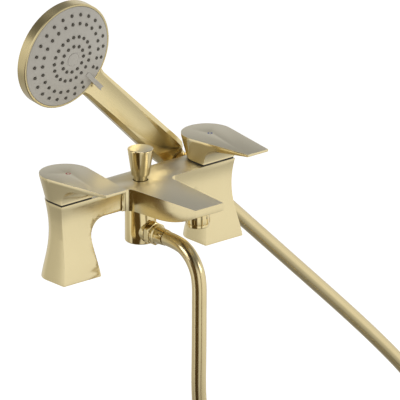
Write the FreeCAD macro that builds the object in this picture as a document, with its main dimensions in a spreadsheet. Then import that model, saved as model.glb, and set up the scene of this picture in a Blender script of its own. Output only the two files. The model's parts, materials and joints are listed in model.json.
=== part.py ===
import FreeCAD, Part
import math
import os
import Sketcher

# Deck mounted bath and shower mixer on two pillars, with a diverter, a hose and a handset.
# Millimetres. X runs along the bridge with the hot tap at -X, Y runs away from the bath, Z is up.
# The origin is on the deck, half way between the two inlets.

V = FreeCAD.Vector
doc = FreeCAD.newDocument("bath_shower_mixer")
sheet = doc.addObject("Spreadsheet::Sheet", "Sizes")
parts = {}


class Size:
    """A number from the sheet together with the expression that gives it."""

    def __init__(self, number, text):
        self.number = number
        self.text = text

    def join(self, other, number, sign):
        return Size(number, "(%s %s %s)" % (self.text, sign, other.text))

    def __add__(self, other):
        other = sized(other)
        return self.join(other, self.number + other.number, "+")

    def __sub__(self, other):
        other = sized(other)
        return self.join(other, self.number - other.number, "-")

    def __mul__(self, other):
        other = sized(other)
        return self.join(other, self.number * other.number, "*")

    def __truediv__(self, other):
        other = sized(other)
        return self.join(other, self.number / other.number, "/")

    def __neg__(self):
        return Size(-self.number, "(0 - %s)" % self.text)

    def __radd__(self, other):
        return sized(other) + self

    def __rsub__(self, other):
        return sized(other) - self

    def __rmul__(self, other):
        return sized(other) * self


def root(value):
    return Size(math.sqrt(value.number), "sqrt(%s)" % value.text)


def sized(value):
    return value if isinstance(value, Size) else Size(float(value), repr(float(value)))


def driving(alias, number):
    """Write one driving dimension on the sheet and return it."""
    row = driving.row
    driving.row += 1
    sheet.set("A%d" % row, alias.replace("_", " "))
    sheet.set("B%d" % row, str(number))
    sheet.setAlias("B%d" % row, alias)
    return Size(float(number), "Sizes.%s" % alias)


driving.row = 1

# Body casting: two pillars, the bridge between them and the spout.
tap_centres = driving("tap_centres", 180)
pillar_height = driving("pillar_height", 79)
foot_half_width = driving("foot_half_width", 23.6)
foot_front = driving("foot_front", 25.6)
waist_half_width = driving("waist_half_width", 17.6)
waist_front = driving("waist_front", 16.2)
head_half_width = driving("head_half_width", 20.2)
head_front = driving("head_front", 18.4)
bridge_thickness = driving("bridge_thickness", 22)
bridge_back = driving("bridge_back", 18.7)
arch_radius = driving("arch_radius", 18)
spout_reach = driving("spout_reach", 109.2)
spout_root_half = driving("spout_root_half", 24.6)
spout_tip_half = driving("spout_tip_half", 17.7)
spout_tip_thickness = driving("spout_tip_thickness", 7.6)
spout_flat = driving("spout_flat", 56)
spout_fillet = driving("spout_fillet", 9)
spout_edge = driving("spout_edge", 3)
waterway_radius = driving("waterway_radius", 5)
spout_waterway_radius = driving("spout_waterway_radius", 4)
spout_roof = driving("spout_roof", 2.5)
static_gap = driving("static_gap", 0.1)
running_gap = driving("running_gap", 0.05)
moving_gap = driving("moving_gap", 0.4)

# Deck end of each pillar.
seal_radius = driving("seal_radius", 20)
seal_thickness = driving("seal_thickness", 1.5)
inlet_bush_radius = driving("inlet_bush_radius", 15)
inlet_thread_radius = driving("inlet_thread_radius", 12.06)
inlet_depth = driving("inlet_depth", 16)
inlet_bore = driving("inlet_bore", 7)

# Quarter turn cartridge.
cartridge_radius = driving("cartridge_radius", 11.4)
cartridge_length = driving("cartridge_length", 24)
cartridge_top_drop = driving("cartridge_top_drop", 3)
cartridge_seal = driving("cartridge_seal", 2)
disc_radius = driving("disc_radius", 7.8)
disc_thickness = driving("disc_thickness", 4)
spindle_radius = driving("spindle_radius", 4.5)
spline_radius = driving("spline_radius", 3.9)
spline_length = driving("spline_length", 12)

# Lever.
glide_thickness = driving("glide_thickness", 1.2)
lever_rise = driving("lever_rise", 24.9)
lever_edge = driving("lever_edge", 2.4)
lever_reach = driving("lever_reach", 76.4)
lever_round = driving("lever_round", 25.6)
lever_tip_half = driving("lever_tip_half", 12.9)
lever_foot_half = driving("lever_foot_half", 19.8)
lever_foot_front = driving("lever_foot_front", 17.9)
lever_scoop = driving("lever_scoop", 18)
index_radius = driving("index_radius", 2.6)
index_hole = driving("index_hole", 1.5)
index_depth = driving("index_depth", 0.8)
index_forward = driving("index_forward", 4.4)
grub_radius = driving("grub_radius", 2.5)
grub_length = driving("grub_length", 12)

# Diverter, in the middle of the bridge.
diverter_forward = driving("diverter_forward", 6)
housing_radius = driving("housing_radius", 15.4)
housing_bottom = driving("housing_bottom", 16.6)
housing_wall = driving("housing_wall", 4.4)
knob_bottom_rise = driving("knob_bottom_rise", 5)
knob_height = driving("knob_height", 27.2)
knob_top_radius = driving("knob_top_radius", 12.8)
knob_bottom_radius = driving("knob_bottom_radius", 9)
stem_radius = driving("stem_radius", 6.9)
stem_hole = driving("stem_hole", 7.6)
diverter_rod = driving("diverter_rod", 4)
diverter_travel = driving("diverter_travel", 8)
spring_radius = driving("spring_radius", 6.2)
spring_wire = driving("spring_wire", 0.5)

# Hose outlet, pointing at the bath.
outlet_height = driving("outlet_height", 29.3)
boss_radius = driving("boss_radius", 11.2)
boss_reach = driving("boss_reach", 16.5)
outlet_thread = driving("outlet_thread", 9.6)
nut_flats = driving("nut_flats", 21.4)
nut_length = driving("nut_length", 10.5)
ferrule_length = driving("ferrule_length", 12)
hose_diameter = driving("hose_diameter", 14.6)

# Aerator under the tip of the spout.
aerator_reach = driving("aerator_reach", 92)
aerator_radius = driving("aerator_radius", 11.7)
aerator_bottom = driving("aerator_bottom", 55.2)
aerator_shoulder = driving("aerator_shoulder", 68.8)
aerator_neck = driving("aerator_neck", 9.6)

# Handset and its cradle. The handle ends on the cradle axis and leans towards the hot tap.
handset_x = driving("handset_x", 75.9)
handset_y = driving("handset_y", 36)
handset_z = driving("handset_z", 75.4)
lean = driving("lean", 46)
handset_spin = driving("handset_spin", 4.4)
handle_half_width = driving("handle_half_width", 15.9)
neck_half_width = driving("neck_half_width", 14.4)
handle_half_depth = driving("handle_half_depth", 8.5)
neck_half_depth = driving("neck_half_depth", 7.4)
handle_length = driving("handle_length", 166)
channel_start = driving("channel_start", 18)
channel_radius = driving("channel_radius", 60)
head_distance = driving("head_distance", 201)
head_forward = driving("head_forward", 14.5)
head_tilt = driving("head_tilt", 6.6)
head_radius = driving("head_radius", 54.4)
head_band = driving("head_band", 10.5)
head_back = driving("head_back", 24)
head_wall = driving("head_wall", 2.4)
plate_rise = driving("plate_rise", 9.2)
plate_thickness = driving("plate_thickness", 2.4)
tab_half = driving("tab_half", 2.2)
tab_inset = driving("tab_inset", 19)
tab_overhang = driving("tab_overhang", 12)
tab_lift = driving("tab_lift", 3.4)
tab_thickness = driving("tab_thickness", 2.8)
hub_radius = driving("hub_radius", 4)
cap_radius = driving("cap_radius", 6.9)
chamber_thickness = driving("chamber_thickness", 3)
nozzle_radius = driving("nozzle_radius", 1.6)
nozzle_proud = driving("nozzle_proud", 0.8)
cone_wall = driving("cone_wall", 1.3)
cone_flare = driving("cone_flare", 2.8)
cone_bottom_radius = hose_diameter / 2 + cone_wall
cone_top_radius = cone_bottom_radius + cone_flare
cone_length = driving("cone_length", 26)
hand_ferrule_end = driving("hand_ferrule_end", 35)
spigot_radius = driving("spigot_radius", 9.2)
cradle_length = driving("cradle_length", 17)
cradle_drop = driving("cradle_drop", 5)
cradle_wall = driving("cradle_wall", 3.6)
cradle_slot_clearance = driving("cradle_slot_clearance", 1.2)
cradle_slot = hose_diameter + cradle_slot_clearance
cradle_screw_radius = driving("cradle_screw_radius", 2)
cradle_screw_depth = driving("cradle_screw_depth", 7)
cradle_pad_half = driving("cradle_pad_half", 11)
cradle_pad_back = driving("cradle_pad_back", 20.6)

# Coil of spare hose.
coil_radius = driving("coil_radius", 75)
coil_half_width = driving("coil_half_width", 14.6)
strap = driving("strap", 1.4)
tie_width = driving("tie_width", 14)
doc.recompute()

half_centres = tap_centres / 2
bridge_bottom = pillar_height - bridge_thickness
diverter_y = -diverter_forward


def keep(label, piece):
    """Record a finished sub-part under the name of its node."""
    piece.Label = label
    parts[label] = piece
    return piece


def bind(item, prop, value):
    value = sized(value)
    item.setExpression(prop, value.text)


def place(piece, x=0, y=0, z=0, rotation=None):
    """Put a piece at its place, bound to the sheet, with an optional turn."""
    spot = [sized(value) for value in (x, y, z)]
    base = V(*[value.number for value in spot])
    piece.Placement = FreeCAD.Placement(base, rotation or FreeCAD.Rotation())
    for letter, value in zip("xyz", spot):
        if "Sizes" in value.text:
            piece.setExpression("Placement.Base.%s" % letter, value.text)
    return piece


def lock(sketch, geometry, point, x, y):
    """Hold one point of a sketch at (x, y)."""
    for kind, value, axis in (("DistanceX", sized(x), -2), ("DistanceY", sized(y), -1)):
        if value.number == 0 and "Sizes" not in value.text:
            sketch.addConstraint(Sketcher.Constraint("PointOnObject", geometry, point, axis))
            continue
        number = sketch.addConstraint(Sketcher.Constraint(kind, geometry, point, value.number))
        if "Sizes" in value.text:
            sketch.setExpression("Constraints[%d]" % number, value.text)


def draw(sketch, outline):
    """Draw a closed outline. A point is (x, y), or (x, y, centre x, centre y) where an arc arrives."""
    points = [tuple(sized(value) for value in entry) for entry in outline]
    first = sketch.GeometryCount
    ends = []
    for number, (here, there) in enumerate(zip(points, points[1:] + points[:1])):
        a = V(here[0].number, here[1].number)
        b = V(there[0].number, there[1].number)
        if len(there) == 2:
            sketch.addGeometry(Part.LineSegment(a, b), False)
            ends.append((1, 2))
            continue
        centre = V(there[2].number, there[3].number)
        left = (a - centre).cross(b - centre).z
        if abs(left) < 1e-6:
            left = (a - centre).cross(V(0, 1, 0)).z or 1
        start, stop = (a, b) if left > 0 else (b, a)
        angles = [math.atan2(p.y - centre.y, p.x - centre.x) for p in (start, stop)]
        if angles[1] < angles[0]:
            angles[1] += 2 * math.pi
        circle = Part.Circle(centre, V(0, 0, 1), (a - centre).Length)
        sketch.addGeometry(Part.ArcOfCircle(circle, angles[0], angles[1]), False)
        ends.append((1, 2) if left > 0 else (2, 1))
    count = len(points)
    for number in range(count):
        after = (number + 1) % count
        pair = (first + number, ends[number][1], first + after, ends[after][0])
        sketch.addConstraint(Sketcher.Constraint("Coincident", *pair))
        lock(sketch, first + number, ends[number][0], points[number][0], points[number][1])
        if len(points[after]) == 4:
            here, there = points[number], points[after]
            wide = abs(here[0].number - there[0].number) > abs(here[1].number - there[1].number)
            kind, value, axis = ("DistanceY", there[3], -1) if wide else ("DistanceX", there[2], -2)
            if value.number == 0 and "Sizes" not in value.text:
                sketch.addConstraint(Sketcher.Constraint("PointOnObject", first + number, 3, axis))
                continue
            held = Sketcher.Constraint(kind, first + number, 3, value.number)
            position = sketch.addConstraint(held)
            if "Sizes" in value.text:
                sketch.setExpression("Constraints[%d]" % position, value.text)


def body_sketch(body, name, plane, outline, offset=0):
    """A sketch of one outline on a plane of the body's own origin."""
    sketch = body.newObject("Sketcher::SketchObject", name)
    base = [item for item in body.Origin.OriginFeatures if item.Role == plane][0]
    sketch.AttachmentSupport = (base, [""])
    sketch.MapMode = "FlatFace"
    offset = sized(offset)
    sketch.AttachmentOffset = FreeCAD.Placement(V(0, 0, offset.number), FreeCAD.Rotation())
    if "Sizes" in offset.text:
        sketch.setExpression("AttachmentOffset.Base.z", offset.text)
    if outline:
        draw(sketch, outline)
    return sketch


def turned(label, outline, node=True):
    """A piece turned on a lathe: half its outline as (radius, height), spun about its own Z."""
    body = doc.addObject("PartDesign::Body", label)
    sketch = body_sketch(body, label + "_outline", "XZ_Plane", outline)
    spin = body.newObject("PartDesign::Revolution", label + "_spin")
    spin.Profile = sketch
    spin.ReferenceAxis = (sketch, ["V_Axis"])
    spin.Angle = 360
    return keep(label, body) if node else body


def padded(label, plane, outline, length, offset=0, node=True, middle=False, back=False):
    """A plate or block: an outline pushed out along the plane's normal."""
    body = doc.addObject("PartDesign::Body", label)
    sketch = body_sketch(body, label + "_outline", plane, outline, offset)
    pad = body.newObject("PartDesign::Pad", label + "_pad")
    pad.Profile = sketch
    pad.Length = sized(length).number
    pad.Midplane = middle
    pad.Reversed = back
    if "Sizes" in sized(length).text:
        pad.setExpression("Length", sized(length).text)
    return keep(label, body) if node else body


def rod(name, radius, length, rotation=None, x=0, y=0, z=0):
    """A plain cylinder used to bore or to build up a piece."""
    item = doc.addObject("Part::Cylinder", name)
    bind(item, "Radius", radius)
    bind(item, "Height", length)
    return place(item, x, y, z, rotation)


def brick(name, x_size, y_size, z_size, x=0, y=0, z=0, rotation=None):
    """A plain block with its low corner at (x, y, z)."""
    item = doc.addObject("Part::Box", name)
    bind(item, "Length", x_size)
    bind(item, "Width", y_size)
    bind(item, "Height", z_size)
    return place(item, x, y, z, rotation)


def joined(name, items):
    item = doc.addObject("Part::MultiFuse", name)
    item.Shapes = items
    item.Refine = True
    return item


def cut(name, base, tools):
    """The base with every tool taken away from it."""
    tool = tools[0] if len(tools) == 1 else joined(name + "_tools", tools)
    item = doc.addObject("Part::Cut", name)
    item.Base = base
    item.Tool = tool
    return item


def ruled_loft(name, sections, ruled):
    item = doc.addObject("Part::Loft", name)
    item.Sections = sections
    item.Solid = True
    item.Ruled = ruled
    return item


def level_sketch(name, outline, x, y, z):
    """A free sketch lying level at height z."""
    sketch = doc.addObject("Sketcher::SketchObject", name)
    draw(sketch, outline)
    return place(sketch, x, y, z)


def dee(half_width, front, centre=0):
    """A D seen from above: flat towards the bath, round at the back."""
    return [(-half_width, -front), (half_width, -front), (half_width, centre),
            (-half_width, centre, 0, centre)]


ALONG_X = FreeCAD.Rotation(V(0, 1, 0), 90)
TO_BATH = FreeCAD.Rotation(V(1, 0, 0), 90)
FROM_BATH = FreeCAD.Rotation(V(1, 0, 0), -90)
SIDES = (("hot", -1), ("cold", 1))


# ---------------------------------------------------------------- body casting
def pillar(side, sign):
    """One pillar: D sections that draw in to a waist and flare again, left long at the front."""
    rough_front = foot_front + 6
    widths = [(0, foot_half_width, 0.2), (0.25, 0.42 * foot_half_width + 0.58 * waist_half_width, -0.6),
              (0.5, waist_half_width, -1.4), (0.76, waist_half_width + 0.3, -1.4), (1, head_half_width, 0)]
    rings = []
    for number, (share, half_width, centre) in enumerate(widths):
        name = "%s_pillar_ring_%d" % (side, number)
        rings.append(level_sketch(name, dee(half_width, rough_front, centre), sign * half_centres, 0,
                                  share * pillar_height))
    return ruled_loft("%s_pillar" % side, rings, False)


def front_block():
    """Everything behind the one curved front face that the pillars and the bridge share."""
    front = [(foot_front.number, 0.0), (foot_front.number - 2.3, 0.2), (waist_front.number + 2.5, 0.45),
             (waist_front.number, 0.74), (head_front.number, 1.0)]
    height = pillar_height.number
    far = 1.5 * foot_front.number
    curve = Part.BSplineCurve()
    curve.interpolate([V(0, -reach, share * height) for reach, share in front])
    corners = [curve.EndPoint, V(0, far, height), V(0, far, 0), curve.StartPoint]
    edges = [curve.toShape()]
    edges += [Part.makeLine(a, b) for a, b in zip(corners, corners[1:])]
    half_length = half_centres.number + 2 * foot_half_width.number
    block = Part.Face(Part.Wire(edges)).extrude(V(2 * half_length, 0, 0))
    item = doc.addObject("Part::Feature", "front_block")
    item.Shape = block
    item.Placement = FreeCAD.Placement(V(-half_length, 0, 0), FreeCAD.Rotation())
    return item


def bridge():
    """The bridge, with an arch of one radius running down into each pillar."""
    inner = half_centres - waist_half_width
    spring_line = bridge_bottom - arch_radius
    outline = [(-half_centres, pillar_height), (-half_centres, spring_line), (-inner, spring_line),
               (arch_radius - inner, bridge_bottom, arch_radius - inner, spring_line),
               (inner - arch_radius, bridge_bottom),
               (inner, spring_line, inner - arch_radius, spring_line),
               (half_centres, spring_line), (half_centres, pillar_height)]
    depth = bridge_back + foot_front
    return padded("bridge_block", "XZ_Plane", outline, depth, -bridge_back, node=False)


def spout():
    """The spout: a plan that tapers to the tip, cut to a side view that curves up underneath."""
    slope = (spout_root_half - spout_tip_half) / (spout_reach - head_front - spout_fillet)
    root = spout_root_half + 0
    corner_x = root + spout_fillet
    corner_y = -(head_front + 0)
    plan = [(-corner_x, -waist_front + 4), (-corner_x, corner_y),
            (-root, corner_y - spout_fillet, -corner_x, corner_y - spout_fillet),
            (-spout_tip_half, -spout_reach), (spout_tip_half, -spout_reach),
            (root, corner_y - spout_fillet),
            (corner_x, corner_y, corner_x, corner_y - spout_fillet),
            (corner_x, -waist_front + 4)]
    flat = padded("spout_plan", "XY_Plane", plan, pillar_height, node=False)
    run = spout_reach.number - spout_flat.number
    rise = bridge_thickness.number - spout_tip_thickness.number
    sweep = (run * run + rise * rise) / (2 * rise)
    tip = pillar_height - spout_tip_thickness
    side = [(0, bridge_bottom), (0, pillar_height), (-spout_reach, pillar_height), (-spout_reach, tip),
            (-spout_flat, bridge_bottom, -spout_flat, bridge_bottom + sweep)]
    view = padded("spout_side", "YZ_Plane", side, 4 * spout_root_half, node=False, middle=True)
    both = doc.addObject("Part::Common", "spout")
    both.Base = flat
    both.Tool = view
    return both


def casting():
    """One brass casting, bored for the inlets, the cartridges, the diverter and the aerator."""
    rough = joined("rough_frame", [pillar(*side) for side in SIDES] + [bridge()])
    frame = doc.addObject("Part::Common", "frame")
    frame.Base = rough
    frame.Tool = front_block()
    pad_x, pad_z = cradle_spot()
    pad = brick("cradle_pad", 2 * cradle_pad_half, cradle_pad_back, bridge_thickness - 6,
                pad_x - cradle_pad_half, 0, pad_z - bridge_thickness / 2 + 3)
    solid = joined("solid_frame", [frame, spout(), pad])
    chamber_floor = pillar_height - cartridge_top_drop - cartridge_length - cartridge_seal
    tools = []
    for side, sign in SIDES:
        x = sign * half_centres
        tools.append(rod(side + "_seal_recess", seal_radius + static_gap, seal_thickness, None, x))
        tools.append(rod(side + "_inlet_pocket", inlet_bush_radius + static_gap,
                         inlet_depth + seal_thickness, None, x))
        tools.append(rod(side + "_riser", inlet_bore, chamber_floor + 1, None, x))
        tools.append(rod(side + "_chamber", cartridge_radius + static_gap,
                         pillar_height - chamber_floor + 1, None, x, 0, chamber_floor))
    tools.append(rod("bridge_waterway", waterway_radius, tap_centres - 2 * cartridge_radius + 2, ALONG_X,
                     cartridge_radius - 1 - half_centres, 0, pillar_height - bridge_thickness / 2))
    tools.append(rod("diverter_chamber", housing_radius - 3 + static_gap, bridge_thickness - 5.5, None,
                     0, diverter_y, bridge_bottom))
    tools.append(rod("stem_bore", stem_hole, bridge_thickness + 2, None, 0, diverter_y, bridge_bottom))
    tools.append(rod("spout_waterway", spout_waterway_radius, aerator_reach - diverter_forward, TO_BATH,
                     0, diverter_y, spout_waterway_height()))
    tools.append(rod("cradle_thread", cradle_screw_radius + static_gap / 2, cradle_screw_depth + 1, TO_BATH,
                     pad_x, cradle_pad_back + 0.5, pad_z))
    tools.append(rod("aerator_recess", aerator_radius + static_gap, aerator_shoulder - bridge_bottom + 5, None,
                     0, -aerator_reach, bridge_bottom - 5))
    tools.append(rod("aerator_bore", aerator_neck + static_gap, spout_waterway_height() - bridge_bottom,
                     None, 0, -aerator_reach, bridge_bottom))
    return keep("body_casting", cut("body_casting", solid, tools))


def cradle_spot():
    """Where the cradle's foot meets the back of the cold pillar, as X and Z."""
    middle = cradle_drop + cradle_length / 2
    return (handset_x + middle * math.sin(math.radians(lean.number)),
            handset_z - middle * math.cos(math.radians(lean.number)))


def spout_waterway_height():
    return pillar_height - spout_roof - spout_waterway_radius


casting()


# ---------------------------------------------------------------- inlets and deck seals
for side, sign in SIDES:
    x = sign * half_centres
    bush = turned(side + "_inlet_bush", [
        (inlet_thread_radius, 0), (inlet_bush_radius, 0), (inlet_bush_radius, inlet_depth),
        (inlet_thread_radius, inlet_depth)])
    place(bush, x, 0, seal_thickness)
    ring = turned(side + "_deck_seal", [
        (inlet_thread_radius, 0), (seal_radius, 0), (seal_radius, seal_thickness),
        (inlet_thread_radius, seal_thickness)])
    place(ring, x, 0, 0)


# ---------------------------------------------------------------- cartridges
cartridge_top = pillar_height - cartridge_top_drop
cartridge_bottom = cartridge_top - cartridge_length
lever_bottom = pillar_height + glide_thickness + moving_gap
lever_top = lever_bottom + lever_rise


def cartridge(side, sign):
    """A ceramic disc cartridge: housing, two discs, spindle, seat seal and gland nut."""
    x = sign * half_centres
    cavity = disc_radius + 2 * static_gap
    roof = cartridge_length - 5
    bore = spindle_radius + running_gap
    shell = turned(side + "_cartridge_shell", [
        (cavity, 0), (cartridge_radius, 0), (cartridge_radius, cartridge_length), (bore, cartridge_length),
        (bore, roof), (cavity, roof)], node=False)
    port = rod(side + "_port", 2.4, cartridge_radius, ALONG_X, 0, 0, 2 * disc_thickness + 3)
    if sign > 0:
        port.Placement.Rotation = FreeCAD.Rotation(V(0, 1, 0), -90)
    body = keep(side + "_cartridge_body", cut(side + "_cartridge_body", shell, [port]))
    place(body, x, 0, cartridge_bottom)
    seal = turned(side + "_seat_seal", [
        (inlet_bore - 1, 0), (cartridge_radius - 1, 0), (cartridge_radius - 1, cartridge_seal),
        (inlet_bore - 1, cartridge_seal)])
    place(seal, x, 0, cartridge_bottom - cartridge_seal)
    for name, lift in (("fixed_disc", 0), ("moving_disc", disc_thickness + running_gap)):
        blank = rod("%s_%s_blank" % (side, name), disc_radius, disc_thickness)
        window = rod("%s_%s_window" % (side, name), disc_radius / 3, disc_thickness + 2, None,
                     disc_radius / 2, 0, -1)
        disc = keep("%s_%s" % (side, name), cut("%s_%s" % (side, name), blank, [window]))
        place(disc, x, 0, cartridge_bottom + lift)
    foot = 2 * disc_thickness + running_gap
    spline_start = pillar_height + glide_thickness + 3 - cartridge_bottom
    spindle = turned(side + "_spindle", [
        (0, foot), (disc_radius - 1, foot), (disc_radius - 1, roof - 1), (spindle_radius, roof - 1),
        (spindle_radius, spline_start), (spline_radius, spline_start),
        (spline_radius, spline_start + spline_length), (0, spline_start + spline_length)])
    place(spindle, x, 0, cartridge_bottom)
    gland = turned(side + "_gland_nut", [
        (spindle_radius + 1, 0), (cartridge_radius - 0.2, 0), (cartridge_radius - 0.2, cartridge_top_drop),
        (spindle_radius + 1, cartridge_top_drop)])
    place(gland, x, 0, cartridge_top)
    return spline_start


for side, sign in SIDES:
    cartridge(side, sign)


# ---------------------------------------------------------------- levers
def lever(side, sign):
    """A hollowed lever: a D foot lofted out to a teardrop top, scooped away under the tip."""
    x = sign * half_centres
    underside = lever_rise - lever_edge
    foot = level_sketch(side + "_lever_foot", dee(lever_foot_half, lever_foot_front), 0, 0, 0)
    reach, tip, round_radius = lever_reach.number, lever_tip_half.number, lever_round.number
    half_angle = math.acos(round_radius / math.hypot(reach, tip))
    turn = math.atan2(-reach, tip) + half_angle
    touch = V(round_radius * math.cos(turn), round_radius * math.sin(turn))

    def teardrop(name, height):
        sketch = doc.addObject("Sketcher::SketchObject", name)
        corners = [V(-tip, -reach), V(tip, -reach), touch, V(-touch.x, touch.y)]
        sketch.addGeometry(Part.LineSegment(corners[0], corners[1]), False)
        sketch.addGeometry(Part.LineSegment(corners[1], corners[2]), False)
        circle = Part.Circle(V(0, 0), V(0, 0, 1), round_radius)
        sketch.addGeometry(Part.ArcOfCircle(circle, turn, math.pi - turn), False)
        sketch.addGeometry(Part.LineSegment(corners[3], corners[0]), False)
        sketch.addConstraint(Sketcher.Constraint("Coincident", 0, 2, 1, 1))
        sketch.addConstraint(Sketcher.Constraint("Coincident", 3, 2, 0, 1))
        sketch.addConstraint(Sketcher.Constraint("Tangent", 1, 2, 2, 1))
        sketch.addConstraint(Sketcher.Constraint("Tangent", 2, 2, 3, 1))
        sketch.addConstraint(Sketcher.Constraint("Coincident", 2, 3, -1, 1))
        radius = sketch.addConstraint(Sketcher.Constraint("Radius", 2, round_radius))
        sketch.setExpression("Constraints[%d]" % radius, lever_round.text)
        lock(sketch, 0, 1, -lever_tip_half, -lever_reach)
        lock(sketch, 0, 2, lever_tip_half, -lever_reach)
        return place(sketch, 0, 0, height)

    low = teardrop(side + "_lever_low", underside)
    skirt = ruled_loft(side + "_lever_skirt", [foot, low], True)
    slab = doc.addObject("Part::Extrusion", side + "_lever_slab")
    slab.Base = low
    slab.DirMode = "Custom"
    slab.Dir = V(0, 0, 1)
    slab.Solid = True
    slab.LengthFwd = lever_edge.number
    slab.setExpression("LengthFwd", lever_edge.text)
    scoop_top = underside - 4.5
    spring = scoop_top - lever_scoop
    scoop_outline = [(-lever_foot_front, -2), (-lever_foot_front, spring),
                     (-lever_foot_front - lever_scoop, scoop_top, -lever_foot_front - lever_scoop, spring),
                     (-lever_reach - 1, underside), (-lever_reach - 1, -2)]
    scoop = padded(side + "_lever_scoop", "YZ_Plane", scoop_outline, 4 * lever_round, node=False,
                   middle=True)
    socket_depth = 3 + spline_length + 1 - moving_gap
    relief = rod(side + "_lever_relief", spindle_radius + 1.2, 4.2, None, 0, 0, -1)
    socket = rod(side + "_lever_socket", spline_radius + static_gap, socket_depth + 1, None, 0, 0, -1)
    grub_hole = rod(side + "_grub_hole", grub_radius + static_gap, lever_round, FROM_BATH,
                    0, 1, grub_height())
    ring = rod(side + "_index_recess", index_radius, index_depth + 1, None, 0, -index_forward,
               lever_rise - index_depth)
    core = rod(side + "_index_core", index_hole, index_depth + 2, None, 0, -index_forward,
               lever_rise - index_depth - 0.5)
    recess = cut(side + "_index_ring_space", ring, [core])
    whole = joined(side + "_lever_whole", [skirt, slab])
    done = cut(side + "_lever", whole, [scoop, relief, socket, grub_hole, recess])
    place(keep(side + "_lever", done), x, 0, lever_bottom)

    index = turned(side + "_index", [
        (index_hole + 0.05, 0), (index_radius - 0.05, 0), (index_radius - 0.05, index_depth),
        (index_hole + 0.05, index_depth)])
    place(index, x, -index_forward, lever_top - index_depth)

    screw = turned(side + "_grub_screw", [
        (0, 0), (grub_radius, 0), (grub_radius, grub_length), (grub_radius / 2, grub_length),
        (grub_radius / 2, grub_length - 3), (0, grub_length - 3)])
    place(screw, x, spline_radius + static_gap, lever_bottom + grub_height(), FROM_BATH)

    sheet_outline = dee(lever_foot_half - 0.9, lever_foot_front - 0.9)
    glide = padded(side + "_glide_blank", "XY_Plane", sheet_outline, glide_thickness, node=False)
    hole = rod(side + "_glide_hole", spindle_radius + 1, glide_thickness + 2, None, 0, 0, -1)
    place(keep(side + "_glide_plate", cut(side + "_glide_plate", glide, [hole])), x, 0, pillar_height)


def grub_height():
    return sized(9)


for side, sign in SIDES:
    lever(side, sign)


# ---------------------------------------------------------------- diverter
housing_neck = housing_radius - 3
housing_bore = housing_radius - housing_wall


def diverter():
    """The housing under the bridge and, inside it, the sliding stem that sends water up the hose."""
    height = bridge_bottom - housing_bottom
    shell = turned("housing_shell", [
        (0, 0), (housing_radius - 1, 0), (housing_radius, 1), (housing_radius, height),
        (housing_neck, height), (housing_neck, height + 4), (0, height + 4)], node=False)
    place(shell, 0, diverter_y, housing_bottom)
    boss = rod("outlet_boss", boss_radius, boss_reach, TO_BATH, 0, diverter_y, outlet_height)
    clear = rod("housing_clear", housing_bore, height, None, 0, diverter_y, housing_bottom + 5)
    bore = rod("outlet_bore", outlet_thread - 2, boss_reach + 2, TO_BATH, 0, diverter_y, outlet_height)
    keep("diverter_housing", cut("diverter_housing", joined("housing_solid", [shell, boss]), [clear, bore]))

    bush_bottom = bridge_bottom + 4 + static_gap
    bush_height = pillar_height - 6 - bush_bottom
    bush = turned("diverter_bush", [
        (diverter_rod + running_gap, 0), (housing_neck, 0), (housing_neck, bush_height),
        (diverter_rod + running_gap, bush_height)])
    place(bush, 0, diverter_y, bush_bottom)

    seat_top = outlet_height + 12
    seat = turned("diverter_seat", [
        (diverter_rod + 2.4, 0), (housing_bore - static_gap, 0), (housing_bore - static_gap, 3),
        (diverter_rod + 2.4, 3)])
    place(seat, 0, diverter_y, seat_top - 3)

    washer_bottom = seat_top + moving_gap
    washer = turned("diverter_washer", [
        (diverter_rod, 0), (housing_bore - 1.6, 0), (housing_bore - 1.6, 3), (diverter_rod, 3)])
    place(washer, 0, diverter_y, washer_bottom)

    knob_bottom = pillar_height + knob_bottom_rise
    stem_bottom = pillar_height - 5
    rod_bottom = washer_bottom - 4
    spindle = turned("diverter_spindle", [
        (0, 0), (diverter_rod, 0), (diverter_rod, knob_bottom + 8 - rod_bottom),
        (0, knob_bottom + 8 - rod_bottom)])
    place(spindle, 0, diverter_y, rod_bottom)

    top = knob_bottom_rise + 5 + knob_height
    knob = turned("diverter_knob", [
        (diverter_rod, 0), (stem_radius, 0), (stem_radius, knob_bottom_rise + 5),
        (knob_bottom_radius - 0.6, knob_bottom_rise + 5), (knob_bottom_radius, knob_bottom_rise + 5.6),
        (knob_top_radius, top - 0.7), (knob_top_radius - 0.7, top), (0, top),
        (0, knob_bottom_rise + 13), (diverter_rod, knob_bottom_rise + 13)])
    place(knob, 0, diverter_y, stem_bottom)

    coil_bottom = washer_bottom + 3 + spring_wire
    coil_height = bush_bottom - spring_wire - coil_bottom
    coil = doc.addObject("PartDesign::Body", "diverter_spring")
    wire = body_sketch(coil, "spring_wire_section", "XZ_Plane", None)
    wire.addGeometry(Part.Circle(V(spring_radius.number, 0), V(0, 0, 1), spring_wire.number), False)
    lock(wire, 0, 3, spring_radius, 0)
    size = wire.addConstraint(Sketcher.Constraint("Radius", 0, spring_wire.number))
    wire.setExpression("Constraints[%d]" % size, spring_wire.text)
    helix = coil.newObject("PartDesign::AdditiveHelix", "spring_helix")
    helix.Profile = wire
    helix.ReferenceAxis = (wire, ["V_Axis"])
    helix.Mode = 0
    pitch = coil_height / 4
    helix.Pitch = pitch.number
    helix.Height = coil_height.number
    helix.setExpression("Pitch", pitch.text)
    helix.setExpression("Height", coil_height.text)
    place(keep("diverter_spring", coil), 0, diverter_y, coil_bottom)


diverter()


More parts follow.
